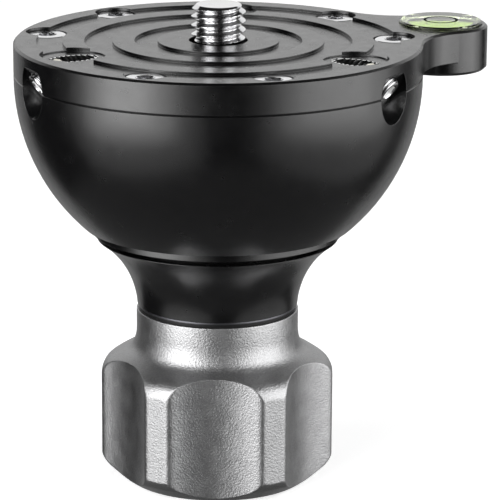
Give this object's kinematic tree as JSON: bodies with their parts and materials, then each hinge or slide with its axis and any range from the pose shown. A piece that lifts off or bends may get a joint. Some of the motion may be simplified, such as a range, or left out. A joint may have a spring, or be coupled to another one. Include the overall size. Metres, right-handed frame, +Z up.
{
  "type": "half-ball leveling base",
  "caption": "Half-ball leveling base with a grooved top plate, an arm with a round bubble level, slanted lock screws, a flared clamp cup and a fluted clamp knob.",
  "frame": {"origin": "on the axis, in the plane of the top plate's lands, where the mounting screw leaves the plate", "axes": "+Z up along the mounting screw, +X along the arm to the bubble level, +Y completes the right-handed frame"},
  "size_m": [0.087, 0.0716, 0.0858],
  "materials": {
    "plate_black": "bead blasted, black anodised, satin",
    "ball_black": "fine turned, black anodised, satin",
    "cup_black": "fine turned, black anodised, satin",
    "knob_silver": "bead blasted, grey anodised, satin",
    "stainless": "bright turned",
    "zinc_steel": "bright zinc",
    "polished_steel": "ground bright",
    "spring_steel": "oiled spring steel",
    "bush_brass": "turned",
    "black_polymer": "matt",
    "tip_polymer": "matt",
    "level_clear": "clear, polished",
    "level_liquid": "clear green-yellow liquid",
    "level_plug": "pale green",
    "pad_foam": "adhesive foam"
  },
  "bodies": {
    "base": {"top_plate": "plate_black", "half_ball": "ball_black", "plate_screws": "stainless", "mounting_screw": "stainless", "screw_retainer": "zinc_steel", "retainer_screws": "zinc_steel", "vial_body": "level_clear", "vial_liquid": "level_liquid", "vial_base": "level_plug", "vial_pad": "pad_foam", "clamp_stud": "zinc_steel", "stud_washer": "zinc_steel", "stud_nut": "zinc_steel", "stop_washer": "zinc_steel", "stop_screw": "zinc_steel"},
    "cup": {"clamp_cup": "cup_black", "cup_liner": "black_polymer", "thrust_washer": "polished_steel"},
    "knob_unit": {"knob": "knob_silver", "knob_bush": "bush_brass", "slip_washer": "black_polymer", "retaining_ring": "spring_steel", "bush_screws": "zinc_steel", "base_cap": "black_polymer"},
    "tip_1": {"set_screw_tip_1": "tip_polymer"},
    "screw_1": {"set_screw_1": "stainless"},
    "tip_2": {"set_screw_tip_2": "tip_polymer"},
    "screw_2": {"set_screw_2": "stainless"},
    "tip_3": {"set_screw_tip_3": "tip_polymer"},
    "screw_3": {"set_screw_3": "stainless"}
  },
  "joints": [
    {"name": "cup_slide", "type": "slide", "parent": "base", "child": "cup", "axis": [0, 0, -1], "range_m": [0, 0.014]},
    {"name": "knob_turn", "type": "hinge", "parent": "cup", "child": "knob_unit", "pos_m": [0, 0, -0.06], "axis": [0, 0, -1], "range_deg": [0, 2880]},
    {"name": "set_screw_slide_1", "type": "slide", "parent": "base", "child": "tip_1", "axis": [-0.3478, -0.7632, 0.5446], "range_m": [0, 0.0028]},
    {"name": "set_screw_turn_1", "type": "hinge", "parent": "tip_1", "child": "screw_1", "pos_m": [0.01157, 0.02539, -0.0007], "axis": [-0.3478, -0.7632, 0.5446], "range_deg": [0, 1260]},
    {"name": "set_screw_slide_2", "type": "slide", "parent": "base", "child": "tip_2", "axis": [0.8348, 0.0804, 0.5446], "range_m": [0, 0.0028]},
    {"name": "set_screw_turn_2", "type": "hinge", "parent": "tip_2", "child": "screw_2", "pos_m": [-0.02777, -0.00267, -0.0007], "axis": [0.8348, 0.0804, 0.5446], "range_deg": [0, 1260]},
    {"name": "set_screw_slide_3", "type": "slide", "parent": "base", "child": "tip_3", "axis": [-0.487, 0.6828, 0.5446], "range_m": [0, 0.0028]},
    {"name": "set_screw_turn_3", "type": "hinge", "parent": "tip_3", "child": "screw_3", "pos_m": [0.0162, -0.02271, -0.0007], "axis": [-0.487, 0.6828, 0.5446], "range_deg": [0, 1260]}
  ],
  "couplings": [
    {"joint": "knob_turn", "follows": "cup_slide", "rad_per_m": 3590.4},
    {"joint": "set_screw_turn_1", "follows": "set_screw_slide_1", "rad_per_m": 7854},
    {"joint": "set_screw_turn_2", "follows": "set_screw_slide_2", "rad_per_m": 7854},
    {"joint": "set_screw_turn_3", "follows": "set_screw_slide_3", "rad_per_m": 7854}
  ]
}
